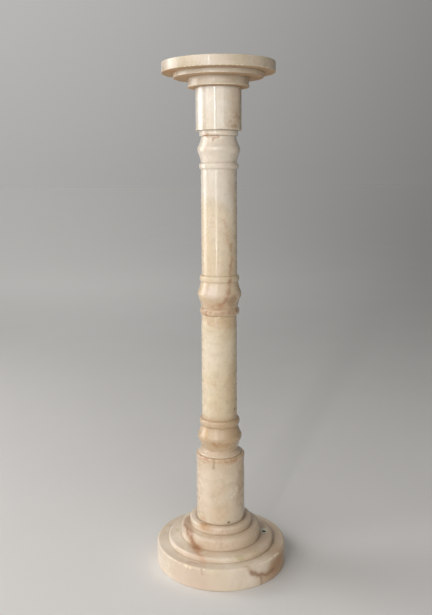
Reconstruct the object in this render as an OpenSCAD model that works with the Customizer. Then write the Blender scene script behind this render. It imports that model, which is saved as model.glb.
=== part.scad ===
// Turned stone pedestal column: six lathe-turned blocks stacked on one axis.
// From the floor up: stepped base, lower drum, lower shaft, upper shaft,
// upper drum, stepped capital. Origin: middle of the underside, +Z up.

/* [Base] */
// Radius of the plinth disc
plinth_r = 129; // [120:0.2:150]
// Height of the plinth disc
plinth_h = 42; // [34:0.2:60]
// Radius of the rounded upper edge of the plinth
plinth_edge = 4; // [1:0.5:8]
// Radius of the rounded lower edge of the plinth
foot_round = 3; // [0.5:0.5:6]
// Radius of the first (widest) step
step1_r = 105.8; // [98:0.2:112]
// Height of the first step
step1_h = 9.6; // [8:0.2:16]
// Rounding of the first step's upper edge
step1_edge = 5; // [1:0.5:7]
// Radius of the second step
step2_r = 79.6; // [74:0.2:90]
// Height of the second step
step2_h = 23.4; // [14:0.2:28]
// Rounding of the second step's upper edge
step2_edge = 8; // [1:0.5:10]
// Radius of the third step, round the foot of the drum
step3_r = 61.8; // [58:0.2:64]
// Height of the third step
step3_h = 13.6; // [8:0.2:18]
// Rounding of the third step's upper edge
step3_edge = 3.5; // [1:0.5:6]

/* [Lower drum] */
// Radius of the plain part of the lower drum
low_drum_r = 48.2; // [47:0.1:49]
// Height of the lower drum
low_drum_h = 131.4; // [80:0.2:180]
// Radius of the rounded bead round the drum's upper edge
bead_r = 48.8; // [48.6:0.1:49.4]
// Height of that bead
bead_h = 11; // [9:0.5:14]

/* [Shafts] */
// Radius of both shafts
shaft_r = 35.5; // [35:0.1:36]
// Radius of the neck worked on the lower shaft under the joint
joint_neck_r = 34.8; // [34:0.1:35]
// Length of that neck
joint_neck_h = 12; // [6:1:20]
// Height of the lower shaft piece, with its knop
low_shaft_h = 280.4; // [240:0.2:340]
// Height of the upper shaft piece, with its two knops
up_shaft_h = 366; // [330:1:440]
// Radius at the bottom of the foot ring that stands on the lower drum
foot_ring_r = 44.2; // [43:0.1:45]
// Height of the foot ring
foot_ring_h = 6.5; // [5:0.5:8]
// Radius of the neck ring under the upper drum
neck_ring_r = 38.4; // [37:0.1:40]
// Height of the neck ring
neck_ring_h = 10; // [8:0.5:13]
// How far the lower shaft stands off the axis, as it was set
low_shaft_shift = -1.2; // [-2:0.1:2]

/* [Knops] */
// Radius of the rings above and below each knop
ring_r = 39.8; // [38.5:0.1:41]
// Height of those rings
ring_h = 12.6; // [11:0.2:14]
// Radius at the waist of the lower knop
low_knop_r = 44.5; // [42:0.1:46]
// Radius at the waist of the middle knop
mid_knop_r = 43.9; // [42:0.1:46]
// Radius at the waist of the upper knop
up_knop_r = 42.6; // [41:0.1:45]
// Radius of the grooves between knops and rings
groove_r = 36.4; // [35.6:0.1:37]
// Half height of the rounding at a knop's waist
waist_round = 4.5; // [2:0.5:7]
// How far the sloping sides of a knop are hollowed
flank_hollow = 0.7; // [0:0.1:1.2]

/* [Upper drum] */
// Radius of the upper drum
up_drum_r = 45.7; // [44:0.1:48]
// Height of the upper drum
up_drum_h = 84.4; // [60:0.2:120]

/* [Capital] */
// Radius of the lowest step of the capital at its foot
cap_step1_r = 61.5; // [58:0.5:66]
// Height of that step
cap_step1_h = 18.6; // [14:0.2:24]
// How far that step flares out at its foot
cap_flare = 1.4; // [0.4:0.2:2.4]
// Radius of the middle step of the capital
cap_step2_r = 89.8; // [80:0.2:98]
// Height of the middle step
cap_step2_h = 9.8; // [7:0.2:14]
// Radius of the top slab
slab_r = 113; // [104:0.5:125]
// Thickness of the top slab
slab_h = 20.8; // [14:0.2:28]
// Bevel along the slab's edges
slab_bevel = 1.2; // [0.4:0.2:2]

/* [Hidden] */
$fn = 96;

// Heights of the joints between the blocks
z_drum = plinth_h + step1_h + step2_h + step3_h;
z_low_shaft = z_drum + low_drum_h;
z_up_shaft = z_low_shaft + low_shaft_h;
z_up_drum = z_up_shaft + up_shaft_h;
z_capital = z_up_drum + up_drum_h;

// A run of points along a circular arc, from angle a0 to a1, as [radius, height]
function arc(cr, cz, rad, a0, a1, n = 8) =
    [for (i = [0 : n]) let (a = a0 + (a1 - a0) * i / n) [cr + rad * cos(a), cz + rad * sin(a)]];

// A rounded ring standing proud of a plain shaft, from height z0 to z0 + h
function ring(r, z0, h, d = 3.8) =
    [for (i = [0 : 12]) let (a = -80 + 160 * i / 12) [r - d + d * cos(a), z0 + h / 2 + h / 2 * sin(a)]];

// The sloping side of a knop, a little hollow, from one point to another
function flank(p, q) =
    [for (i = [0 : 5]) let (t = i / 6) p * (1 - t) + q * t - [4 * flank_hollow * t * (1 - t), 0]];

// A knop: two hollowed cones that meet in a rounded waist
function knop(r0, z0, rw, zw, r1, z1) =
    let (w = waist_round,
         crest = rw + w * ((rw - r0) / (zw - z0) + (rw - r1) / (z1 - zw)) / 4,
         a = [crest + (r0 - crest) * w / (zw - z0), zw - w],
         b = [crest + (r1 - crest) * w / (z1 - zw), zw + w])
    concat(flank([r0, z0], a),
           [for (i = [0 : 8]) let (t = i / 8)
               a * (1 - t) * (1 - t) + [crest, zw] * 2 * t * (1 - t) + b * t * t],
           [for (i = [5 : -1 : 0]) flank([r1, z1], b)[i]]);

// A turned block: the outline is closed on the axis and spun round it
module turned(outline) {
    pts = concat([[0, outline[0][1]]], outline, [[0, outline[len(outline) - 1][1]]]);
    rotate_extrude() polygon(pts);
}

// One step of the base, with its rounded upper edge, from height z
function step(r, z, h, e) = concat([[r, z]], arc(r - e, z + h - e, e, 0, 90, 7));

module base() {
    color([0.86, 0.78, 0.68])
    turned(concat(
        arc(plinth_r - foot_round, foot_round, foot_round, -90, 0, 5),
        arc(plinth_r - plinth_edge, plinth_h - plinth_edge, plinth_edge, 0, 90, 7),
        step(step1_r, plinth_h, step1_h, step1_edge),
        step(step2_r, plinth_h + step1_h, step2_h, step2_edge),
        step(step3_r, plinth_h + step1_h + step2_h, step3_h, step3_edge)));
}

module lower_drum() {
    e = bead_h * 0.32;
    color([0.82, 0.75, 0.66])
    translate([0, 0, z_drum])
    turned(concat(
        [[low_drum_r, 0],
         [low_drum_r, low_drum_h - bead_h - 3],
         [low_drum_r - 0.2, low_drum_h - bead_h],
         [bead_r - 0.3, low_drum_h - bead_h + 2]],
        arc(bead_r - e, low_drum_h - e, e, 0, 90, 7)));
}

module lower_shaft() {
    h = low_shaft_h;
    k0 = foot_ring_h + 3;
    kw = k0 + 24.7;
    k1 = kw + 23.6;
    r2 = k1 - 0.3;
    color([0.84, 0.78, 0.69])
    translate([low_shaft_shift, 0, z_low_shaft])
    turned(concat(
        [[foot_ring_r - 0.8, 0], [foot_ring_r, 1]],
        [for (i = [0 : 6]) let (t = i / 6)
            [foot_ring_r - (foot_ring_r - groove_r - 2) * t + 2.4 * t * (1 - t), 2 + (foot_ring_h - 2) * t]],
        [[groove_r + 0.7, foot_ring_h + 1.2]],
        knop(groove_r, k0, low_knop_r, kw, groove_r + 0.4, k1),
        ring(ring_r + 0.6, r2, ring_h + 0.9, 4.4),
        [[shaft_r, r2 + ring_h + 1.4],
         [shaft_r, h - joint_neck_h - 5],
         [joint_neck_r, h - joint_neck_h],
         [joint_neck_r, h]]));
}

module upper_shaft() {
    h = up_shaft_h;
    // middle knop, with a ring at each side
    m0 = ring_h + 2.2;
    mw = m0 + 26.4;
    m1 = mw + 24.8;
    // upper knop, between a ring and the neck ring
    n1 = h - neck_ring_h - 3.8;
    nw = n1 - 23.4;
    n0 = nw - 26;
    n_ring = n0 - ring_h;
    color([0.85, 0.79, 0.70])
    translate([0, 0, z_up_shaft])
    turned(concat(
        [[joint_neck_r + 1.6, 0]],
        ring(ring_r - 0.3, 0.4, ring_h + 0.5, 3.6),
        knop(groove_r - 0.4, m0, mid_knop_r, mw, groove_r + 0.7, m1),
        ring(ring_r, m1 + 0.4, ring_h, 4),
        [[shaft_r, m1 + ring_h + 0.6],
         [shaft_r + 0.3, n_ring - 0.8]],
        ring(ring_r - 0.6, n_ring - 0.6, ring_h - 1, 3.4),
        knop(groove_r - 0.9, n0, up_knop_r, nw, groove_r - 1.5, n1),
        [[neck_ring_r - 3.5, n1 + 2.4],
         [neck_ring_r - 0.8, n1 + 3.2],
         [neck_ring_r, n1 + 4.4],
         [neck_ring_r, h]]));
}

module upper_drum() {
    color([0.90, 0.86, 0.80])
    translate([0, 0, z_up_drum])
    turned([[up_drum_r - 0.5, 0], [up_drum_r, 0.6], [up_drum_r, up_drum_h]]);
}

module capital() {
    z1 = cap_step1_h;
    z2 = z1 + cap_step2_h;
    z3 = z2 + slab_h;
    b = slab_bevel;
    foot = cap_step1_r - cap_flare;
    color([0.83, 0.76, 0.66])
    translate([0, 0, z_capital])
    turned(concat(
        [[cap_step1_r - 1.2, 0], [cap_step1_r, 1.2]],
        [for (i = [1 : 6]) let (t = i / 6) [foot + cap_flare * pow(1 - t, 2.2), 1.2 + (z1 * 0.6) * t]],
        [[foot, z1]],
        arc(cap_step2_r - b, z1 + b, b, -90, 0, 3),
        [[cap_step2_r, z2]],
        arc(slab_r - b, z2 + b, b, -90, 0, 3),
        arc(slab_r - b, z3 - b, b, 0, 90, 3)));
}

base();
lower_drum();
lower_shaft();
upper_shaft();
upper_drum();
capital();
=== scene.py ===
"""Looks of the turned stone pedestal: six polished onyx blocks on one axis, a pale floor and soft studio light."""

import math

import bpy
import numpy as np
from mathutils import Matrix, Vector


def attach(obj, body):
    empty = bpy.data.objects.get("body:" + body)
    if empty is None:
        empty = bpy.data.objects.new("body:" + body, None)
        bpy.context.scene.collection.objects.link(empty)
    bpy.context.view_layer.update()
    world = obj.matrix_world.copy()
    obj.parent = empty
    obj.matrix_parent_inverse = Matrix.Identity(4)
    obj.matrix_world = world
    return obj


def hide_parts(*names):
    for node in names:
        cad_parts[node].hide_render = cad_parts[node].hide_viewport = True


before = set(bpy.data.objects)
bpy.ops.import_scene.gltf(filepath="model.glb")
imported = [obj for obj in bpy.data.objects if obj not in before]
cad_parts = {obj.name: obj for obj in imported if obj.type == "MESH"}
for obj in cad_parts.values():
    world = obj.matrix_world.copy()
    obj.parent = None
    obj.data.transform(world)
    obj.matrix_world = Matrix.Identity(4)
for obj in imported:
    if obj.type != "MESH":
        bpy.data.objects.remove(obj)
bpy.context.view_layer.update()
MM = 0.001

# ---------------------------------------------------------------- sizes, in mm, as in the construction
PLINTH_R, PLINTH_H, PLINTH_EDGE, FOOT_ROUND = 128.96, 42.0, 4.0, 3.0
STEPS = ((105.8, 9.6, 5.0), (79.6, 23.4, 8.0), (61.8, 13.6, 3.5))
LOW_DRUM_R, LOW_DRUM_H, BEAD_R, BEAD_H = 48.2, 131.4, 48.8, 11.0
SHAFT_R, JOINT_NECK_R, JOINT_NECK_H = 35.5, 34.8, 12.0
LOW_SHAFT_H, UP_SHAFT_H = 280.4, 366.0
FOOT_RING_R, FOOT_RING_H, NECK_RING_R, NECK_RING_H = 44.2, 6.5, 38.4, 10.0
LOW_SHAFT_SHIFT = -1.2
RING_R, RING_H = 39.8, 12.6
LOW_KNOP_R, MID_KNOP_R, UP_KNOP_R = 44.5, 43.9, 42.6
GROOVE_R, WAIST_ROUND, FLANK_HOLLOW = 36.4, 4.5, 0.7
UP_DRUM_R, UP_DRUM_H = 45.7, 84.4
CAP1_R, CAP1_H, CAP_FLARE, CAP2_R, CAP2_H = 61.5, 18.6, 1.4, 89.8, 9.8
SLAB_R, SLAB_H, SLAB_BEVEL = 113.0, 20.8, 1.2

Z_DRUM = PLINTH_H + sum(s[1] for s in STEPS)
Z_LOW_SHAFT = Z_DRUM + LOW_DRUM_H
Z_UP_SHAFT = Z_LOW_SHAFT + LOW_SHAFT_H
Z_UP_DRUM = Z_UP_SHAFT + UP_SHAFT_H
Z_CAPITAL = Z_UP_DRUM + UP_DRUM_H


# ---------------------------------------------------------------- turned outlines
def arc(cr, cz, rad, a0, a1, n=12):
    return [(cr + rad * math.cos(math.radians(a0 + (a1 - a0) * i / n)), cz + rad * math.sin(math.radians(a0 + (a1 - a0) * i / n))) for i in range(n + 1)]


def ring(r, z0, h, d=3.8, n=22):
    out = []
    for i in range(n + 1):
        a = math.radians(-80 + 160 * i / n)
        out.append((r - d + d * math.cos(a) ** 0.65, z0 + h / 2 + h / 2 * math.sin(a)))
    return out


def flank(p, q, n=14):
    out = []
    for i in range(n):
        t = i / n
        out.append((p[0] * (1 - t) + q[0] * t - 4 * FLANK_HOLLOW * t * (1 - t), p[1] * (1 - t) + q[1] * t))
    return out


def knop(r0, z0, rw, zw, r1, z1, n=16):
    w = WAIST_ROUND
    crest = rw + w * ((rw - r0) / (zw - z0) + (rw - r1) / (z1 - zw)) / 4
    a = (crest + (r0 - crest) * w / (zw - z0), zw - w)
    b = (crest + (r1 - crest) * w / (z1 - zw), zw + w)
    mid = []
    for i in range(n + 1):
        t = i / n
        mid.append(tuple(a[k] * (1 - t) ** 2 + (crest, zw)[k] * 2 * t * (1 - t) + b[k] * t * t for k in (0, 1)))
    return flank((r0, z0), a) + mid + flank((r1, z1), b)[::-1]


def outline_base():
    out = arc(PLINTH_R - FOOT_ROUND, FOOT_ROUND, FOOT_ROUND, -90, 0, 8)
    out += arc(PLINTH_R - PLINTH_EDGE, PLINTH_H - PLINTH_EDGE, PLINTH_EDGE, 0, 90)
    z = PLINTH_H
    for r, h, e in STEPS:
        out += [(r + 0.35, z), (r + 0.1, z + 0.12), (r, z + 0.4)]
        out += arc(r - e, z + h - e, e, 0, 90)
        z += h
    return out


def outline_lower_drum():
    e, h = BEAD_H * 0.32, LOW_DRUM_H
    out = [(LOW_DRUM_R - 0.5, 0), (LOW_DRUM_R, 0.5), (LOW_DRUM_R, h - BEAD_H - 3), (LOW_DRUM_R - 0.2, h - BEAD_H), (BEAD_R - 0.3, h - BEAD_H + 2)]
    return out + arc(BEAD_R - e, h - e, e, 0, 90)


def outline_lower_shaft():
    h = LOW_SHAFT_H
    k0 = FOOT_RING_H + 3
    kw = k0 + 24.7
    k1 = kw + 23.6
    r2 = k1 - 0.3
    out = [(FOOT_RING_R - 0.8, 0), (FOOT_RING_R - 0.25, 0.35), (FOOT_RING_R, 1.0)]
    for i in range(11):
        t = i / 10
        out.append((FOOT_RING_R - (FOOT_RING_R - GROOVE_R - 2) * t + 2.4 * t * (1 - t), 2 + (FOOT_RING_H - 2) * t))
    out += [(GROOVE_R + 0.7, FOOT_RING_H + 1.2)]
    out += knop(GROOVE_R, k0, LOW_KNOP_R, kw, GROOVE_R + 0.4, k1)
    out += ring(RING_R + 0.6, r2, RING_H + 0.9, 4.4)
    return out + [(SHAFT_R, r2 + RING_H + 1.4), (SHAFT_R, h - JOINT_NECK_H - 5), (JOINT_NECK_R, h - JOINT_NECK_H), (JOINT_NECK_R, h)]


def outline_upper_shaft():
    h = UP_SHAFT_H
    m0 = RING_H + 2.2
    mw = m0 + 26.4
    m1 = mw + 24.8
    n1 = h - NECK_RING_H - 3.8
    nw = n1 - 23.4
    n0 = nw - 26
    nr = n0 - RING_H
    out = [(JOINT_NECK_R + 1.6, 0)]
    out += ring(RING_R - 0.3, 0.4, RING_H + 0.5, 3.6)
    out += knop(GROOVE_R - 0.4, m0, MID_KNOP_R, mw, GROOVE_R + 0.7, m1)
    out += ring(RING_R, m1 + 0.4, RING_H, 4)
    out += [(SHAFT_R, m1 + RING_H + 0.6), (SHAFT_R + 0.3, nr - 0.8)]
    out += ring(RING_R - 0.6, nr - 0.6, RING_H - 1, 3.4)
    out += knop(GROOVE_R - 0.9, n0, UP_KNOP_R, nw, GROOVE_R - 1.5, n1)
    return out + [(NECK_RING_R - 3.5, n1 + 2.4), (NECK_RING_R - 0.8, n1 + 3.2), (NECK_RING_R - 0.2, n1 + 3.8), (NECK_RING_R, n1 + 4.8), (NECK_RING_R, h)]


def outline_upper_drum():
    return [(UP_DRUM_R - 0.6, 0), (UP_DRUM_R - 0.15, 0.25), (UP_DRUM_R, 0.8), (UP_DRUM_R, UP_DRUM_H)]


def outline_capital():
    z1 = CAP1_H
    z2 = z1 + CAP2_H
    z3 = z2 + SLAB_H
    b = SLAB_BEVEL
    foot = CAP1_R - CAP_FLARE
    out = [(CAP1_R - 1.2, 0), (CAP1_R - 0.3, 0.4), (CAP1_R, 1.2)]
    out += [(foot + CAP_FLARE * (1 - i / 10) ** 2.2, 1.2 + z1 * 0.6 * i / 10) for i in range(1, 11)]
    out += [(foot, z1 - 0.5), (foot + 0.4, z1)]
    out += arc(CAP2_R - b, z1 + b, b, -90, 0, 4)
    out += [(CAP2_R, z2 - 0.5), (CAP2_R + 0.4, z2)]
    out += arc(SLAB_R - b, z2 + b, b, -90, 0, 5)
    return out + arc(SLAB_R - b, z3 - b, b, 0, 90, 5)


# ---------------------------------------------------------------- meshes
def resample(pts, step, fine=()):
    """The outline with no stretch longer than step, or than the finer step named for a box of radii and heights."""
    out = [pts[0]]
    for p in pts[1:]:
        q = out[-1]
        d = math.hypot(p[0] - q[0], p[1] - q[1])
        if d < 0.05:
            continue
        n_all = max(1, math.ceil(d / 0.4))
        walk = [(q[0] + (p[0] - q[0]) * k / n_all, q[1] + (p[1] - q[1]) * k / n_all) for k in range(1, n_all + 1)]
        last, keep = q, []
        for k, w in enumerate(walk):
            s = step
            for r0, r1, z0, z1, sf in fine:
                if r0 <= w[0] <= r1 and z0 <= w[1] <= z1:
                    s = sf
            if k == n_all - 1 or math.hypot(w[0] - last[0], w[1] - last[1]) >= s - 0.2:
                keep.append(w)
                last = w
        if len(keep) > 1 and math.hypot(keep[-1][0] - keep[-2][0], keep[-1][1] - keep[-2][1]) < 0.35:
            keep.pop(-2)
        out += keep
    return out


def column_outline():
    """The whole column's outline, foot to top, for working out where its hollows and arrises are."""
    out = []
    for pts, z0 in ((outline_base(), 0.0), (outline_lower_drum(), Z_DRUM), (outline_lower_shaft(), Z_LOW_SHAFT),
                    (outline_upper_shaft(), Z_UP_SHAFT), (outline_upper_drum(), Z_UP_DRUM), (outline_capital(), Z_CAPITAL)):
        out += [(r, z + z0) for r, z in pts]
    return np.array([(0.0, 0.0)] + out + [(0.0, 1000.0)])


COLUMN = column_outline()


def inside(pts):
    """Which of the (radius, height) points lie in the stone."""
    a, b = COLUMN, np.roll(COLUMN, -1, 0)
    x, y = np.abs(pts[:, 0])[:, None], pts[:, 1][:, None]
    cross = (a[:, 1] > y) != (b[:, 1] > y)
    dy = np.where(np.abs(b[:, 1] - a[:, 1]) < 1e-9, 1e-9, b[:, 1] - a[:, 1])
    hit = cross & (x < (b[:, 0] - a[:, 0]) * (y - a[:, 1]) / dy + a[:, 0])
    return hit.sum(1) % 2 == 1


def stone_share(rows, radii):
    """Share of a small disc round each outline point that is stone: 0.5 on a plain face, more in a hollow, less at an arris."""
    rows = np.array(rows, float)
    total = np.zeros(len(rows))
    count = 0
    for rad in radii:
        for k in range(24):
            a = 2 * math.pi * (k + 0.5) / 24
            total += inside(rows + np.array([rad * math.cos(a), rad * math.sin(a)]))
            count += 1
    return total / count


def turned(name, pts, z0, shift, seg, step, relief=None, flat_step=9.0, fine=()):
    """A closed turned mesh: the outline spun round the axis, with flat ends."""
    side = resample(pts, step, fine)
    r_lo, r_hi = side[0][0], side[-1][0]
    n_lo, n_hi = max(2, int(r_lo / flat_step)), max(2, int(r_hi / flat_step))
    low = [(r_lo * k / n_lo, side[0][1]) for k in range(1, n_lo)]
    high = [(r_hi * k / n_hi, side[-1][1]) for k in range(n_hi - 1, 0, -1)]
    rows = np.array(low + side + high)
    th = np.arange(seg) * 2 * math.pi / seg
    r, z = rows[:, 0][:, None], rows[:, 1][:, None]
    co = np.stack([r * np.cos(th), r * np.sin(th), np.broadcast_to(z, (len(rows), seg))], 2).reshape(-1, 3)
    co = np.vstack([co, [[0, 0, side[0][1]], [0, 0, side[-1][1]]]])
    world_rows = rows + np.array([0, z0])
    narrow = np.concatenate([np.repeat(stone_share(world_rows, (1.2, 2.4, 3.6)), seg), [0.5, 0.5]])
    broad = np.concatenate([np.repeat(stone_share(world_rows, (5.0, 8.0, 11.0)), seg), [0.5, 0.5]])
    co[:, 0] += shift
    co[:, 2] += z0
    bruise = np.zeros(len(co))
    if relief is not None:
        co, bruise = relief(co)
    n = len(rows)
    i = np.arange(n - 1)[:, None] * seg
    j = np.arange(seg)[None, :]
    k = (j + 1) % seg
    quads = np.stack([i + j, i + k, i + seg + k, i + seg + j], 2).reshape(-1, 4)
    a, b = n * seg, n * seg + 1
    faces = quads.tolist()
    faces += [[a, int((s + 1) % seg), int(s)] for s in range(seg)]
    faces += [[b, int((n - 1) * seg + s), int((n - 1) * seg + (s + 1) % seg)] for s in range(seg)]
    me = bpy.data.meshes.new(name)
    me.from_pydata((co * MM).tolist(), [], faces)
    me.update()
    for key, val in (("hollow_fine", narrow), ("hollow_broad", broad), ("bruise", bruise)):
        me.attributes.new(key, "FLOAT", "POINT").data.foreach_set("value", val.astype(np.float32))
    me.shade_smooth()
    me.set_sharp_from_angle(angle=math.radians(38))
    ob = bpy.data.objects.new(name, me)
    bpy.context.scene.collection.objects.link(ob)
    return ob


def scoops(*hollows):
    """Chips and pits: (centre, radius, bruising) of balls that bite the surface. A ball's centre lies just outside the stone."""
    def relief(co):
        bruise = np.zeros(len(co))
        for c, rad, pale in hollows:
            c = np.array(c, float)
            d = co - c
            dist = np.linalg.norm(d, axis=1)
            bruise = np.maximum(bruise, pale * np.clip((rad * 1.25 - dist) / (rad * 0.35), 0, 1))
            m = dist < rad
            if m.any():
                co[m] = c + d[m] / np.maximum(dist[m], 1e-6)[:, None] * rad
        return co, bruise
    return relief


def arris_chips(seed, r, z, out_r, out_z, n, bite=(0.5, 1.3), ball=(2.2, 4.2), at=()):
    """Chips round an arris at radius r and height z: at the named angles, and n more where the seed puts them."""
    rng = np.random.default_rng(seed)
    res = []
    angles = [(a, 1.0) for a in at] + [(v, 0.75) for v in rng.uniform(0, 360, n)]
    for a, big in angles:
        rad = rng.uniform(*ball) * big
        off = rad - rng.uniform(*bite) * big
        t = math.radians(a)
        res.append((((r + out_r * off) * math.cos(t), (r + out_r * off) * math.sin(t), z + out_z * off), rad, rng.uniform(0.5, 1.0)))
    return res


# ---------------------------------------------------------------- stone
def lin(c):
    """sRGB 0-255 to linear."""
    return tuple(((v / 255) / 12.92 if v / 255 <= 0.04045 else ((v / 255 + 0.055) / 1.055) ** 2.4) for v in c) + (1.0,)


class Nodes:
    def __init__(self, name):
        self.m = bpy.data.materials.new(name)
        self.m.use_nodes = True
        self.t = self.m.node_tree
        self.t.nodes.clear()
        self.out = self.t.nodes.new("ShaderNodeOutputMaterial")
        self.co = self.t.nodes.new("ShaderNodeTexCoord").outputs["Object"]

    def link(self, a, b):
        self.t.links.new(a, b)

    def new(self, kind, **props):
        n = self.t.nodes.new(kind)
        for k, v in props.items():
            setattr(n, k, v)
        return n

    def put(self, socket, value):
        if isinstance(value, bpy.types.NodeSocket):
            self.link(value, socket)
        elif value is not None:
            socket.default_value = value

    def math(self, op, a, b=None, c=None, clamp=False):
        n = self.new("ShaderNodeMath", operation=op, use_clamp=clamp)
        for s, v in zip(n.inputs, (a, b, c)):
            self.put(s, v)
        return n.outputs[0]

    def vec(self, op, a, b=None, scale=None):
        n = self.new("ShaderNodeVectorMath", operation=op)
        self.put(n.inputs[0], a)
        if b is not None:
            self.put(n.inputs[1], b)
        if scale is not None:
            self.put(n.inputs["Scale"], scale)
        return n.outputs["Value"] if op in ("DOT_PRODUCT", "LENGTH", "DISTANCE") else n.outputs["Vector"]

    def attr(self, name):
        return self.new("ShaderNodeAttribute", attribute_name=name).outputs["Fac"]

    def noise(self, co, scale, detail=3.0, rough=0.5, stretch=None, seed=(0, 0, 0), colour=False):
        m = self.new("ShaderNodeMapping")
        self.link(co, m.inputs["Vector"])
        m.inputs["Location"].default_value = seed
        m.inputs["Scale"].default_value = stretch or (1, 1, 1)
        n = self.new("ShaderNodeTexNoise")
        self.link(m.outputs[0], n.inputs["Vector"])
        n.inputs["Scale"].default_value = scale
        n.inputs["Detail"].default_value = detail
        n.inputs["Roughness"].default_value = rough
        return n.outputs["Color" if colour else "Fac"]

    def ramp(self, x, lo, hi, a=0.0, b=1.0, smooth=True):
        n = self.new("ShaderNodeMapRange", interpolation_type="SMOOTHSTEP" if smooth else "LINEAR", clamp=True)
        self.put(n.inputs["Value"], x)
        for k, v in zip(("From Min", "From Max", "To Min", "To Max"), (lo, hi, a, b)):
            n.inputs[k].default_value = v
        return n.outputs["Result"]

    def times(self, *xs):
        out = xs[0]
        for x in xs[1:]:
            out = self.math("MULTIPLY", out, x)
        return out

    def most(self, *xs):
        out = xs[0]
        for x in xs[1:]:
            out = self.math("MAXIMUM", out, x)
        return out

    def mix(self, fac, a, b, blend="MIX"):
        n = self.new("ShaderNodeMix", data_type="RGBA", blend_type=blend)
        self.put(n.inputs[0], fac)
        self.put(n.inputs[6], a)
        self.put(n.inputs[7], b)
        return n.outputs[2]

    def tint(self, col, fac, rgb):
        return self.mix(fac, col, lin(rgb))

    def blob(self, co, centre, radii, soft=0.35):
        """1 in the middle of an ellipsoid given in mm, falling to 0 at its edge."""
        d = self.vec("SUBTRACT", co, tuple(c * MM for c in centre))
        d = self.vec("MULTIPLY", d, tuple(1 / (r * MM) for r in radii))
        return self.ramp(self.vec("LENGTH", d), 1.0, soft)

    def streak(self, co, points, width, soft=0.15):
        """1 on a line of points given in mm, falling to 0 at its half width."""
        out = None
        for p, q in zip(points[:-1], points[1:]):
            p, q = np.array(p, float) * MM, np.array(q, float) * MM
            v = q - p
            l2 = float(v @ v)
            rel = self.vec("SUBTRACT", co, tuple(p))
            t = self.math("MULTIPLY", self.vec("DOT_PRODUCT", rel, tuple(v)), 1 / l2, clamp=True)
            foot = self.vec("SCALE", tuple(v), scale=t)
            d = self.vec("LENGTH", self.vec("SUBTRACT", rel, foot))
            out = d if out is None else self.math("MINIMUM", out, d)
        return self.ramp(out, width * MM, width * MM * soft)


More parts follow.
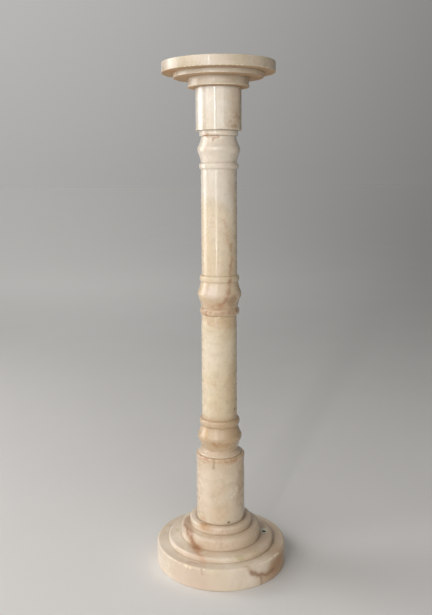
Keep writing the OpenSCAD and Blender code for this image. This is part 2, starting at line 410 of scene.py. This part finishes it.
def stone(name, base, warm, pale, seed, rough=0.27, band=0.35, marks=None, dirt_and_shade=(130, 102, 70), dirt_and_shade_amount=0.75, cloud_scale=9.0, coat=0.5, worn_amount=0.40):
    """Polished onyx: cloudy cream with pale and warm drifts, beds, grain, dirt and painted shade in the hollows and
    pale bruised arrises.
    """
    g = Nodes(name)
    co = g.co
    # the beds of the stone wander: everything below reads warped coordinates
    warp = g.vec("SCALE", g.vec("SUBTRACT", g.noise(co, 7.0, 2.0, seed=seed, colour=True), (0.5, 0.5, 0.5)), scale=0.085)
    wco = g.vec("ADD", co, warp)
    small = g.vec("SCALE", g.vec("SUBTRACT", g.noise(co, 85.0, 3.0, 0.6, seed=seed, colour=True), (0.5, 0.5, 0.5)), scale=0.012)
    vco = g.vec("ADD", co, small)
    cloud = g.noise(wco, cloud_scale, 4.0, 0.55, stretch=(1, 1, 0.55), seed=seed)
    fine = g.noise(wco, 46.0, 4.0, 0.6, stretch=(1, 1, 0.6), seed=(seed[1], seed[2], seed[0]))
    mottle = g.noise(vco, 130.0, 3.0, 0.55, seed=(seed[2], seed[1], seed[0]))
    beds = g.noise(wco, 17.0, 3.0, 0.5, stretch=(0.3, 0.3, 2.4), seed=(seed[2], seed[0], seed[1]))
    col = g.mix(g.ramp(cloud, 0.42, 0.66), lin(base), lin(warm))
    col = g.tint(col, g.times(g.ramp(cloud, 0.48, 0.32), 0.85), pale)
    col = g.tint(col, g.times(g.ramp(beds, 0.52, 0.68), band), warm)
    col = g.tint(col, g.times(g.ramp(fine, 0.55, 0.72), 0.40), pale)
    col = g.tint(col, g.times(g.ramp(fine, 0.45, 0.30), 0.32), [c * 0.94 for c in warm])
    col = g.tint(col, g.times(g.ramp(mottle, 0.58, 0.74), 0.22), [min(255, c * 1.03) for c in pale])
    col = g.tint(col, g.times(g.ramp(mottle, 0.42, 0.28), 0.16), [c * 0.88 for c in warm])
    # thin wandering seams of darker calcite
    seam = g.math("ABSOLUTE", g.math("SUBTRACT", g.noise(wco, 12.0, 5.0, 0.62, seed=(seed[0] + 7, seed[1], seed[2] + 3)), 0.5))
    where = g.ramp(g.noise(co, 8.0, 1.0, seed=(seed[1] + 5, seed[0], seed[2])), 0.52, 0.66)
    col = g.tint(col, g.times(g.ramp(seam, 0.012, 0.0), where, 0.30), (184, 142, 108))
    rough_add = None
    if marks is not None:
        col = marks(g, co, wco, vco, col)
    # hollows hold dirt and painted shade, arrises are rubbed paler
    patch = g.noise(co, 70.0, 3.0, 0.6, seed=(seed[2] + 1, seed[0] + 4, seed[1]))
    col = g.tint(col, g.times(g.ramp(g.attr("hollow_broad"), 0.56, 0.84), g.ramp(patch, 0.2, 0.75, 0.6, 1.0), 0.50 * dirt_and_shade_amount), [c * 1.22 for c in dirt_and_shade])
    col = g.tint(col, g.times(g.ramp(g.attr("hollow_fine"), 0.56, 0.78), g.ramp(patch, 0.25, 0.65, 0.5, 1.0), 0.80 * dirt_and_shade_amount), dirt_and_shade)
    worn = g.times(g.ramp(g.attr("hollow_fine"), 0.42, 0.22), g.ramp(g.noise(co, 150.0, 3.0, 0.6, seed=seed), 0.42, 0.62), worn_amount)
    col = g.tint(col, worn, (240, 232, 218))
    bruise = g.attr("bruise")
    col = g.tint(col, g.times(bruise, 0.85), (244, 232, 206))
    b = g.new("ShaderNodeBsdfPrincipled")
    g.link(col, b.inputs["Base Color"])
    rn = g.ramp(g.noise(co, 60.0, 3.0, 0.6, seed=seed), 0.3, 0.7, rough - 0.05, rough + 0.09)
    # undersides are sawn and rubbed, not polished
    facing = g.vec("DOT_PRODUCT", g.new("ShaderNodeNewGeometry").outputs["Normal"], (0, 0, 1))
    rn = g.math("ADD", rn, g.times(bruise, 0.35), clamp=True)
    g.link(g.math("ADD", rn, g.ramp(facing, -0.3, -0.8, 0.0, 0.45), clamp=True), b.inputs["Roughness"])
    b.inputs["IOR"].default_value = 1.5
    b.inputs["Subsurface Weight"].default_value = 0.16
    b.inputs["Subsurface Radius"].default_value = (1.0, 0.7, 0.42)
    b.inputs["Subsurface Scale"].default_value = 0.0035
    g.link(g.ramp(facing, -0.3, -0.8, coat, 0.0), b.inputs["Coat Weight"])
    b.inputs["Coat Roughness"].default_value = 0.07
    height = g.math("ADD", g.times(g.noise(co, 900.0, 2.0, 0.5, seed=seed), 0.18), g.times(g.noise(co, 150.0, 3.0, 0.5, seed=seed), 0.8))
    bump = g.new("ShaderNodeBump")
    bump.inputs["Strength"].default_value = 0.22
    bump.inputs["Distance"].default_value = 0.0004
    g.link(height, bump.inputs["Height"])
    g.link(bump.outputs[0], b.inputs["Normal"])
    g.link(b.outputs[0], g.out.inputs[0])
    return g.m


# ---------------------------------------------------------------- what each block shows
def ragged(g, co, seed=(0, 0, 0), scale=120.0, lo=0.35, hi=0.6):
    """Breaks a mark up, so that it isn't even."""
    return g.ramp(g.noise(co, scale, 4.0, 0.65, seed=seed), lo, hi)


def base_marks(g, co, wco, vco, col):
    rust, deep, tan = (170, 124, 94), (138, 94, 68), (182, 148, 116)
    # large drifts: pinkish at the left and front, tan and greyer at the right
    col = g.tint(col, g.times(g.blob(wco, (-60, -95, 15), (75, 60, 40)), 0.50), (220, 198, 182))
    col = g.tint(col, g.times(g.blob(wco, (100, -60, 22), (60, 64, 38)), 0.82), (190, 154, 116))
    col = g.tint(col, g.times(g.blob(wco, (95, 10, 50), (60, 60, 40)), 0.45), (190, 162, 130))
    col = g.tint(col, g.times(g.blob(wco, (20, 90, 20), (90, 55, 40)), 0.40), (208, 180, 150))
    # the main seam: a tan band with rusty strands, down over the two upper steps, then paler over the first step
    run = [(-66, 12, 75), (-69, -13, 75), (-66, -36, 74), (-63, -48, 69), (-60, -52, 63), (-56, -57, 57), (-51, -62, 52), (-47, -72, 51.6)]
    low = [(-47, -72, 51.6), (-48, -83, 51.6), (-43, -93.5, 51), (-38, -99, 46), (-36, -106, 42)]
    col = g.tint(col, g.times(g.streak(vco, run, 17.0, 0.25), ragged(g, co, (3, 1, 4), 50, 0.10, 0.55), 0.76), tan)
    col = g.tint(col, g.times(g.streak(vco, run[2:], 10.0, 0.2), ragged(g, co, (1, 5, 2), 80, 0.22, 0.56), 0.78), rust)
    strands = g.most(g.streak(vco, [(p[0] - 3, p[1] - 1, p[2]) for p in run[1:7]], 3.6, 0.2), g.times(g.streak(vco, [(p[0] + 3, p[1] - 2, p[2]) for p in run[3:]], 2.6, 0.2), 0.6))
    col = g.tint(col, g.times(strands, ragged(g, co, (6, 2, 2), 110, 0.26, 0.52), 0.75), deep)
    col = g.tint(col, g.times(g.streak(vco, low, 10.0, 0.1), ragged(g, co, (2, 2, 7), 90, 0.30, 0.62), 0.62), (210, 168, 138))
    thin = g.most(g.streak(vco, low[:3], 4.6, 0.1), g.times(g.streak(vco, [(-66, -97, 42), (-58, -101, 42), (-50, -103, 42), (-42, -104, 42)], 3.6, 0.2), 0.7),
                  g.streak(vco, [(-41, -122, 40), (-39, -123, 33)], 3.6, 0.1))
    col = g.tint(col, g.times(thin, ragged(g, co, (7, 2, 2), 120, 0.30, 0.56), 0.62), (188, 142, 108))
    # paler bruises and flecks, and a row of cream clouds under the front edge
    flecks = g.ramp(g.noise(co, 320.0, 2.0, 0.5, seed=(9, 1, 5)), 0.64, 0.72)
    col = g.tint(col, g.times(g.blob(co, (-45, -105, 34), (60, 40, 16)), flecks, 0.55), (240, 228, 208))
    col = g.tint(col, g.times(g.most(g.blob(vco, (-69, -108, 40), (6, 6, 4)), g.blob(vco, (-62, -112, 39), (4, 4, 3))), 0.75), (246, 230, 198))
    col = g.tint(col, g.times(g.blob(co, (-2, -128, 36), (46, 12, 9)), g.ramp(g.noise(vco, 95.0, 3.0, 0.6, seed=(4, 2, 9)), 0.50, 0.62), 0.60), (230, 219, 184))
    # yellow-green clouding on the first step
    green = g.most(g.blob(vco, (35, -98, 50), (16, 11, 6)), g.times(g.blob(vco, (-88, 9, 52), (8, 12, 5)), 0.8), g.times(g.blob(vco, (66, -82, 48), (16, 14, 8)), 0.5))
    col = g.tint(col, g.times(green, ragged(g, co, (5, 3, 3), 130, 0.30, 0.6), 0.7), (194, 184, 130))
    # the forked seam at the right, a tan patch painted as shade over the plinth's right end, and the pale worn rim
    # above the seam
    left = [(46, -118, 41.5), (53, -117.5, 32.5), (60, -114, 27), (69, -109, 22)]
    right = [(69, -109, 22), (79, -102, 18), (88, -94, 17.5), (100, -82, 20), (106, -73, 23), (112, -64, 27)]
    # painted shade: the plinth's right end is darkened tan
    col = g.tint(col, g.times(g.blob(vco, (106, -74, 27), (34, 40, 22), 0.1), 0.74), (178, 136, 94))
    col = g.tint(col, g.times(g.streak(vco, left + right[1:], 11.0, 0.05), ragged(g, co, (7, 3, 5), 60, 0.15, 0.60), 0.62), (182, 142, 106))
    core = g.most(g.streak(vco, left[1:] + right[1:4], 5.8, 0.0), g.times(g.streak(vco, [(71, -107.5, 21), (73, -106, 10), (73, -106, 0)], 6.0, 0.05), 0.8))
    col = g.tint(col, g.times(core, ragged(g, co, (3, 7, 5), 90, 0.16, 0.50), 0.66), (144, 102, 72))
    rim_pale = g.times(g.streak(co, [(68, -108, 41), (81, -98.5, 41.3), (93, -86.5, 41.3), (108, -67, 41)], 3.4, 0.3), ragged(g, co, (3, 8, 5), 170, 0.34, 0.52))
    col = g.tint(col, g.times(g.most(rim_pale, g.times(g.blob(vco, (66, -107, 36), (18, 14, 10)), 0.45)), 0.85), (240, 226, 204))
    # rust at the drum's foot, and the pit in the first step with its whitish bruise
    col = g.tint(col, g.times(g.blob(vco, (-34, -50, 87), (19, 17, 9)), ragged(g, co, (8, 6, 2), 90, 0.20, 0.56), 0.72), (202, 160, 120))
    col = g.tint(col, g.times(g.blob(vco, (-37, -45, 88.5), (13, 11, 4)), ragged(g, co, (3, 6, 2), 120, 0.26, 0.55), 0.66), (176, 132, 90))
    col = g.tint(col, g.times(g.blob(vco, (88, 6, 52), (14, 17, 8)), ragged(g, co, (1, 9, 9), 170, 0.24, 0.46), 0.95), (220, 221, 200))
    # painted shade: the inside of the pit is near-black
    col = g.tint(col, g.times(g.blob(co, (88, 3.0, 49.5), (6.6, 6.0, 3.4), 0.6), 0.97), (26, 21, 15))
    # softer seams round the unseen back
    back = [(-30, 122, 30), (-4, 112, 42), (10, 100, 48), (30, 78, 56), (34, 66, 70)]
    behind = g.most(g.streak(vco, back, 9.0, 0.1), g.times(g.streak(vco, [(-122, 30, 14), (-118, 46, 30), (-96, 52, 46)], 8.0, 0.1), 0.7))
    return g.tint(col, g.times(behind, ragged(g, co, (2, 7, 8), 70, 0.25, 0.6), 0.6), rust)


def lower_drum_marks(g, co, wco, vco, col):
    col = g.tint(col, g.times(g.blob(wco, (-34, -34, 155), (40, 34, 60)), 0.5), (230, 210, 190))
    col = g.tint(col, g.times(g.blob(wco, (44, -16, 160), (26, 34, 80)), 0.65), (190, 158, 120))
    col = g.tint(col, g.times(g.blob(wco, (10, -46, 116), (40, 22, 22)), 0.35), (214, 184, 148))
    # a tan stain under the bead with reddish marks, and a short crack running down from it
    col = g.tint(col, g.times(g.ramp(g.vec("DOT_PRODUCT", vco, (0, 0, 1)), 0.207, 0.216), ragged(g, co, (4, 1, 1), 70, 0.30, 0.62), 0.6), (196, 156, 118))
    col = g.tint(col, g.times(g.streak(vco, [(-40, -22, 218), (-32, -36, 217), (-26, -41, 217)], 4.0, 0.2), ragged(g, co, (6, 1, 3), 130, 0.26, 0.54), 0.62), (180, 122, 94))
    col = g.tint(col, g.times(g.streak(vco, [(-41, -23, 210), (-33, -35, 209)], 3.6, 0.2), ragged(g, co, (2, 1, 6), 130, 0.30, 0.54), 0.50), (190, 132, 104))
    col = g.tint(col, g.times(g.streak(vco, [(-15, -46.5, 217), (-14, -46.5, 210), (-14.5, -46, 203)], 4.8, 0.05), 0.62), (160, 126, 94))
    col = g.tint(col, g.times(g.streak(vco, [(6, -48, 217), (20, -44, 217), (32, -36, 217)], 4.0, 0.2), ragged(g, co, (3, 3, 9), 150, 0.34, 0.5), 0.6), (178, 136, 92))
    # pale scratches and specks
    for a, b in (((30.5, -37.5, 160), (26, -40.8, 150)), ((25, -41.5, 149), (19, -44.5, 139)), ((33, -35, 153), (27, -40, 146))):
        col = g.tint(col, g.times(g.streak(vco, [a, b], 1.9, 0.2), ragged(g, co, (4, 4, 4), 260, 0.36, 0.5), 0.85), (240, 230, 206))
    for c, r in (((-12.6, -46.5, 141), 5.0), ((-4.8, -48, 133.6), 4.5), ((-22, -43, 137), 4.0)):
        col = g.tint(col, g.times(g.blob(vco, c, (r, r, r * 0.8)), ragged(g, co, (1, 4, 2), 240, 0.4, 0.6), 0.6), (238, 222, 208))
    col = g.tint(col, g.times(g.blob(co, (14, -46, 93.5), (4.6, 3, 3.2)), 0.85), (118, 100, 54))
    return g.tint(col, g.times(g.blob(vco, (-38, -31, 95), (14, 14, 7)), 0.45), (206, 160, 120))


def lower_shaft_marks(g, co, wco, vco, col):
    h = g.vec("DOT_PRODUCT", wco, (0, 0, 1))
    hv = g.vec("DOT_PRODUCT", vco, (0, 0, 1))
    # the knop is of the same block, but browner where the bed runs through it
    col = g.tint(col, g.times(g.ramp(hv, 0.306, 0.292), g.ramp(hv, 0.224, 0.234), 0.76), (192, 162, 128))
    col = g.tint(col, g.times(g.ramp(hv, 0.236, 0.226), 0.70), (216, 194, 172))
    col = g.tint(col, g.times(g.blob(vco, (-8, -42, 247), (18, 12, 10)), ragged(g, co, (6, 6, 2), 90, 0.28, 0.6), 0.75), (176, 136, 86))
    col = g.tint(col, g.times(g.blob(vco, (12, -40, 246), (14, 10, 8)), 0.45), (182, 142, 96))
    col = g.tint(col, g.times(g.blob(vco, (-30, -26, 266), (12, 16, 16)), 0.40), (214, 180, 132))
    col = g.tint(col, g.times(g.blob(wco, (30, -22, 380), (22, 26, 110)), 0.45), (202, 174, 132))
    col = g.tint(col, g.times(g.blob(wco, (-22, -26, 440), (22, 22, 60)), 0.45), (226, 214, 194))
    col = g.tint(col, g.times(g.streak(co, [(-26, -23.5, 290), (-26, -23.5, 480)], 2.2, 0.1), 0.22), (186, 158, 120))
    col = g.tint(col, g.times(g.ramp(h, 0.487, 0.4985), 0.4), (196, 160, 120))
    col = g.tint(col, g.times(g.blob(co, (28, -20.3, 312.3), (2.4, 2.6, 4.0), 0.4), 0.9), (124, 84, 52))
    return g.tint(col, g.times(g.blob(vco, (28, -20, 306), (6, 6, 9)), 0.45), (196, 160, 122))


def upper_shaft_marks(g, co, wco, vco, col):
    h = g.vec("DOT_PRODUCT", wco, (0.10, 0, 1))
    hz = g.vec("DOT_PRODUCT", vco, (0, 0, 1))
    # the middle knop is a shade darker and pinker, and tan towards its foot
    col = g.tint(col, g.times(g.ramp(hz, 0.574, 0.562), 0.42), (202, 180, 157))
    col = g.tint(col, g.times(g.ramp(hz, 0.550, 0.524), 0.42), (180, 145, 114))
    # greyish white above, creamier below a faint slanting bed
    col = g.tint(col, g.times(g.ramp(h, 0.712, 0.738), 0.62), (226, 218, 206))
    col = g.tint(col, g.times(g.ramp(h, 0.716, 0.700), 0.30), (222, 200, 164))
    col = g.tint(col, g.times(g.blob(wco, (0, -28, 820), (40, 30, 34)), 0.45), (230, 218, 202))
    # the tan streak down the right of the shaft into the middle knop
    col = g.tint(col, g.times(g.streak(vco, [(10, -34, 690), (14, -33, 665), (17, -31, 640)], 5.0, 0.1), ragged(g, co, (1, 1, 8), 70, 0.3, 0.62), 0.5), (206, 166, 138))
    col = g.tint(col, g.times(g.streak(vco, [(22, -28, 640), (24, -27, 612), (22, -30, 585), (20, -34, 572)], 7.0, 0.1), ragged(g, co, (8, 1, 1), 60, 0.26, 0.60), 0.7), (180, 142, 104))
    col = g.tint(col, g.times(g.streak(vco, [(20, -35, 570), (16, -40, 548), (12, -41, 534), (2, -39, 524)], 7.5, 0.1), ragged(g, co, (5, 1, 5), 90, 0.26, 0.58), 0.80), (164, 116, 84))
    col = g.tint(col, g.times(g.blob(vco, (23, -32, 532), (17, 16, 17)), 0.66), (156, 122, 88))
    col = g.tint(col, g.times(g.blob(vco, (-6, -38, 521), (30, 12, 9)), ragged(g, co, (5, 5, 5), 100, 0.28, 0.6), 0.68), (182, 138, 104))
    col = g.tint(col, g.times(g.blob(vco, (-18, -36, 548), (26, 18, 18)), 0.70), (218, 201, 187))
    col = g.tint(col, g.times(g.streak(vco, [(-36, -18, 509), (-12, -38, 507), (14, -38, 507), (34, -20, 509)], 8.0, 0.1), ragged(g, co, (6, 9, 4), 120, 0.28, 0.58), 0.60), (160, 112, 82))
    col = g.tint(col, g.times(g.blob(vco, (-28, -28, 506), (12, 12, 7)), ragged(g, co, (2, 9, 4), 150, 0.3, 0.55), 0.6), (178, 128, 96))
    # rust under the neck ring
    col = g.tint(col, g.times(g.streak(vco, [(-30, -22, 858), (-20, -32, 855), (-12, -35, 851), (-4, -36, 853)], 7.0, 0.05), ragged(g, co, (3, 5, 1), 110, 0.26, 0.54), 0.80), (172, 126, 88))
    col = g.tint(col, g.times(g.streak(vco, [(-16, -33, 852), (-12, -35, 846)], 3.0, 0.1), 0.6), (164, 108, 74))
    return g.tint(col, g.times(g.blob(wco, (30, -18, 760), (20, 26, 120)), 0.35), (206, 178, 142))


def upper_drum_marks(g, co, wco, vco, col):
    # nearly white at the left, tan-brown and mottled at the right
    col = g.tint(col, g.times(g.blob(wco, (-38, -24, 910), (30, 36, 60)), 0.5), (236, 231, 224))
    col = g.tint(col, g.times(g.ramp(g.vec("DOT_PRODUCT", wco, (1, 0, 0)), 0.014, 0.044), 0.45), (216, 194, 164))
    col = g.tint(col, g.times(g.blob(vco, (35, -28, 892), (16, 18, 20)), ragged(g, co, (7, 7, 2), 120, 0.34, 0.56), 0.50), (180, 144, 106))
    col = g.tint(col, g.times(g.streak(vco, [(12, -44, 893), (22, -40, 897), (30, -34, 893)], 2.6, 0.2), 0.6), (232, 214, 188))
    col = g.tint(col, g.times(g.blob(vco, (30, -34, 873), (12, 10, 6)), ragged(g, co, (1, 7, 7), 170, 0.36, 0.54), 0.6), (160, 116, 78))
    return g.tint(col, g.times(g.blob(vco, (18, -41, 878), (16, 9, 9)), ragged(g, co, (1, 3, 3), 150, 0.38, 0.56), 0.5), (196, 158, 120))


def capital_marks(g, co, wco, vco, col):
    col = g.tint(col, g.times(g.blob(wco, (-30, -100, 990), (90, 40, 22)), 0.4), (228, 214, 198))
    col = g.tint(col, g.times(g.ramp(g.vec("DOT_PRODUCT", wco, (1, 0, 0)), 0.06, 0.11), 0.35), (206, 184, 156))
    # painted shade: faces turned downwards, under the slab and the steps, are darkened warm brown, with a browner patch
    # at the left
    painted_underside_shade = g.ramp(g.vec("DOT_PRODUCT", g.new("ShaderNodeNewGeometry").outputs["Normal"], (0, 0, 1)), -0.3, -0.8)
    col = g.tint(col, g.times(painted_underside_shade, 0.72), (180, 138, 92))
    col = g.tint(col, g.times(g.blob(vco, (-94, -30, 979), (20, 26, 9)), 0.6), (196, 142, 86))
    # fine rusty seams in the slab's face
    for pts in ([(-90, -68, 996), (-86, -73, 990), (-89, -70, 984)], [(10, -113, 992), (22, -111, 988), (30, -109, 990)], [(62, -95, 996), (66, -92, 986), (72, -87, 982)],
                [(96, 60, 996), (90, 68, 986), (92, 66, 980)], [(-70, 89, 995), (-60, 96, 988), (-52, 100, 984)]):
        col = g.tint(col, g.times(g.streak(vco, pts, 2.4, 0.1), ragged(g, co, (7, 2, 6), 170, 0.36, 0.56), 0.5), (196, 156, 118))
    flecks = g.ramp(g.noise(co, 260.0, 2.0, 0.5, seed=(2, 8, 5)), 0.64, 0.74)
    return g.tint(col, g.times(flecks, 0.35), (238, 228, 212))


# ---------------------------------------------------------------- the six blocks
pieces = {}


def block(node, ob, mat):
    ob.data.materials.append(mat)
    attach(ob, "root")
    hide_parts(node)
    pieces[node] = ob


STEP_TOP = PLINTH_H + STEPS[0][1]
pit = [((88.3, 2.6, STEP_TOP + 1.2), 4.6, 0.0), ((91.2, 5.4, STEP_TOP + 2.2), 3.8, 0.0), ((85.4, 4.6, STEP_TOP + 2.4), 3.6, 0.0)]
rim = arris_chips(4, PLINTH_R - 1.2, PLINTH_H - 1.2, 0.7, 0.7, 22, bite=(0.25, 0.7), ball=(2.4, 4.4), at=(-55, -49, -44, -37, -31))
foot = arris_chips(9, PLINTH_R - 0.9, 0.9, 0.7, -0.7, 16, bite=(0.3, 0.8), ball=(2.4, 4.4))
base_ob = turned("base_block", outline_base(), 0.0, 0.0, 512, 1.75, scoops(*(pit + rim + foot)), flat_step=14.0, fine=((82.0, 96.0, 50.0, 53.0, 0.8),))
block("base", base_ob, stone("stone_base", (228, 212, 191), (217, 196, 171), (238, 225, 209), (3, 5, 1), marks=base_marks, cloud_scale=8.0, rough=0.38, coat=0.15, dirt_and_shade_amount=0.55, worn_amount=0.15))

bead = arris_chips(12, BEAD_R - 1.0, Z_LOW_SHAFT - 1.0, 0.7, 0.7, 7, bite=(0.25, 0.6), ball=(2.2, 3.6), at=(-140, -62))
block("lower_drum", turned("lower_drum_block", outline_lower_drum(), Z_DRUM, 0.0, 320, 1.5, scoops(*bead)),
      stone("stone_lower_drum", (218, 201, 177), (207, 183, 153), (230, 216, 197), (11, 2, 7), marks=lower_drum_marks, dirt_and_shade_amount=0.6))

nick = [((28.9, -20.9, 312.3), 1.9, 0.0)] + arris_chips(17, JOINT_NECK_R, Z_UP_SHAFT, 0.8, -0.2, 6, bite=(0.3, 0.8), ball=(1.8, 3.2), at=(-95, -150))
block("lower_shaft", turned("lower_shaft_block", outline_lower_shaft(), Z_LOW_SHAFT, LOW_SHAFT_SHIFT, 288, 1.5, scoops(*nick), fine=((34.0, 37.0, 84.0, 100.0, 0.8),)),
      stone("stone_lower_shaft", (220, 204, 176), (208, 186, 150), (230, 216, 194), (21, 9, 4), marks=lower_shaft_marks))

ring_nicks = arris_chips(23, RING_R - 0.5, Z_UP_SHAFT + 7, 1.0, 0.0, 4, bite=(0.2, 0.5), ball=(2.0, 3.4), at=(-128,))
block("upper_shaft", turned("upper_shaft_block", outline_upper_shaft(), Z_UP_SHAFT, 0.0, 288, 1.5, scoops(*ring_nicks)),
      stone("stone_upper_shaft", (220, 205, 182), (209, 188, 158), (230, 219, 202), (8, 17, 12), marks=upper_shaft_marks))

lip = arris_chips(31, UP_DRUM_R - 0.2, Z_UP_DRUM + 0.3, 0.8, -0.6, 7, bite=(0.2, 0.6), ball=(1.8, 3.0), at=(-60,))
block("upper_drum", turned("upper_drum_block", outline_upper_drum(), Z_UP_DRUM, 0.0, 288, 1.6, scoops(*lip)),
      stone("stone_upper_drum", (224, 216, 203), (214, 199, 177), (234, 228, 219), (31, 13, 2), marks=upper_drum_marks, rough=0.22, coat=1.0))

slab_z = Z_CAPITAL + CAP1_H + CAP2_H
slab = arris_chips(5, SLAB_R - 0.35, slab_z + 0.35, 0.7, -0.7, 34, bite=(0.4, 1.0), ball=(2.2, 4.2), at=(-126, -120, -109, -101.5, -96, -90.4, -84, -78.2, -74, -68.3))
slab += arris_chips(6, SLAB_R - 0.35, 1000 - 0.35, 0.7, 0.7, 14, bite=(0.2, 0.6), ball=(2.0, 3.6))
slab += arris_chips(7, CAP1_R - 0.2, Z_CAPITAL + 0.3, 0.7, -0.7, 8, bite=(0.3, 0.7), ball=(1.8, 3.0), at=(-138,))
block("capital", turned("capital_block", outline_capital(), Z_CAPITAL, 0.0, 640, 1.35, scoops(*slab), flat_step=12.0),
      stone("stone_capital", (208, 195, 175), (197, 180, 153), (223, 211, 194), (5, 27, 19), marks=capital_marks, rough=0.30, coat=0.35, dirt_and_shade_amount=0.6))


# ---------------------------------------------------------------- floor, light, camera
def floor():
    me = bpy.data.meshes.new("floor")
    s = 40.0
    me.from_pydata([(-s, -s, 0), (s, -s, 0), (s, s, 0), (-s, s, 0)], [], [(0, 1, 2, 3)])
    ob = bpy.data.objects.new("floor", me)
    bpy.context.scene.collection.objects.link(ob)
    g = Nodes("floor_paper")
    b = g.new("ShaderNodeBsdfPrincipled")
    n = g.noise(g.co, 3.0, 2.0)
    g.link(g.mix(n, (0.76, 0.75, 0.735, 1), (0.80, 0.79, 0.775, 1)), b.inputs["Base Color"])
    b.inputs["Roughness"].default_value = 0.9
    b.inputs["Emission Color"].default_value = (1.0, 0.985, 0.96, 1)
    # far off, the floor glows with painted light that fades it into the backdrop; the glow, like the backdrop, is
    # weaker to the right
    far = g.ramp(g.vec("DOT_PRODUCT", g.co, (0, 1, 0)), 0.5, 4.0)
    right = g.vec("DOT_PRODUCT", g.vec("NORMALIZE", g.co), (1, 0, 0))
    g.link(g.times(far, g.most(g.ramp(right, -0.4, 0.8, 0.272, -0.06), 0.0)), b.inputs["Emission Strength"])
    g.link(b.outputs[0], g.out.inputs[0])
    me.materials.append(g.m)


def area(name, azimuth, dist, height, size, power, colour, look=0.5):
    """A soft box. Azimuth 0 is towards the front, positive to the right."""
    a = math.radians(azimuth)
    at = Vector((dist * math.sin(a), -dist * math.cos(a), height))
    d = bpy.data.lights.new(name, "AREA")
    d.shape = "RECTANGLE"
    d.size, d.size_y = size
    d.energy = power
    d.color = colour
    ob = bpy.data.objects.new(name, d)
    bpy.context.scene.collection.objects.link(ob)
    ob.rotation_euler = (Vector((0, 0, look)) - at).to_track_quat("-Z", "Y").to_euler()
    ob.location = at
    ob.visible_camera = False


floor()
area("window", -104, 2.2, 1.25, (1.2, 2.2), 27, (1.0, 0.985, 0.975))
area("front_left", -46, 2.6, 1.65, (2.2, 2.0), 31, (1.0, 0.98, 0.96))
area("strip", -20, 2.7, 1.0, (0.14, 2.3), 16, (1.0, 0.985, 0.965))
area("front", 6, 2.8, 1.7, (1.8, 1.6), 17, (1.0, 0.975, 0.94))
area("fill", 34, 2.8, 1.5, (2.0, 1.8), 5, (1.0, 0.95, 0.88))

world = bpy.data.worlds.new("studio")
world.use_nodes = True
wt = world.node_tree
bg = wt.nodes["Background"]
sep = wt.nodes.new("ShaderNodeSeparateXYZ")
wt.links.new(wt.nodes.new("ShaderNodeTexCoord").outputs["Generated"], sep.inputs[0])
side = wt.nodes.new("ShaderNodeMapRange")
side.interpolation_type = "SMOOTHSTEP"
wt.links.new(sep.outputs[0], side.inputs["Value"])
for key, val in (("From Min", -0.4), ("From Max", 0.8), ("To Min", 0.62), ("To Max", 0.14)):
    side.inputs[key].default_value = val
rise = wt.nodes.new("ShaderNodeMapRange")
wt.links.new(sep.outputs[2], rise.inputs["Value"])
for key, val in (("From Min", 0.0), ("From Max", 1.0), ("To Min", 0.72), ("To Max", 1.25)):
    rise.inputs[key].default_value = val
both = wt.nodes.new("ShaderNodeMath")
both.operation = "MULTIPLY"
wt.links.new(side.outputs["Result"], both.inputs[0])
wt.links.new(rise.outputs["Result"], both.inputs[1])
behind = wt.nodes.new("ShaderNodeMapRange")
behind.interpolation_type = "SMOOTHSTEP"
wt.links.new(sep.outputs[1], behind.inputs["Value"])
for key, val in (("From Min", 0.78), ("From Max", 0.93), ("To Min", 1.0), ("To Max", 2.4)):
    behind.inputs[key].default_value = val
sky = wt.nodes.new("ShaderNodeMath")
sky.operation = "MULTIPLY"
wt.links.new(both.outputs[0], sky.inputs[0])
wt.links.new(behind.outputs["Result"], sky.inputs[1])
wt.links.new(sky.outputs[0], bg.inputs["Strength"])
bg.inputs[0].default_value = (0.40, 0.395, 0.385, 1)
bpy.context.scene.world = world

# camera: level with the upper shaft, 1.48 m off, looking 2.9 degrees down
PITCH, ROLL = 0.05, -0.00704
F_PX, CX, CY = 742.62, 193.99, 209.73
cp, sp, cr, sr = math.cos(PITCH), math.sin(PITCH), math.cos(ROLL), math.sin(ROLL)
R = np.array([[cr, -sr, 0], [sr, cr, 0], [0, 0, 1.0]]) @ np.array([[1, 0, 0], [0, -sp, -cp], [0, cp, -sp]])
cam_data = bpy.data.cameras.new("camera")
cam = bpy.data.objects.new("camera", cam_data)
bpy.context.scene.collection.objects.link(cam)
mw = Matrix.Identity(4)
for i in range(3):
    mw[i][0], mw[i][1], mw[i][2] = R[0][i], -R[1][i], -R[2][i]
mw[0][3], mw[1][3], mw[2][3] = -0.050, -1.47907, 0.78356
cam.matrix_world = mw
cam_data.sensor_width = 36.0
cam_data.lens = F_PX * 36.0 / 615.0
cam_data.shift_x = (216.0 - CX) / 615.0
cam_data.shift_y = (CY - 307.5) / 615.0
cam_data.clip_end = 100.0
bpy.context.scene.camera = cam
bpy.context.scene.view_settings.view_transform = "Standard"
bpy.context.scene.view_settings.look = "None"

bpy.context.view_layer.update()
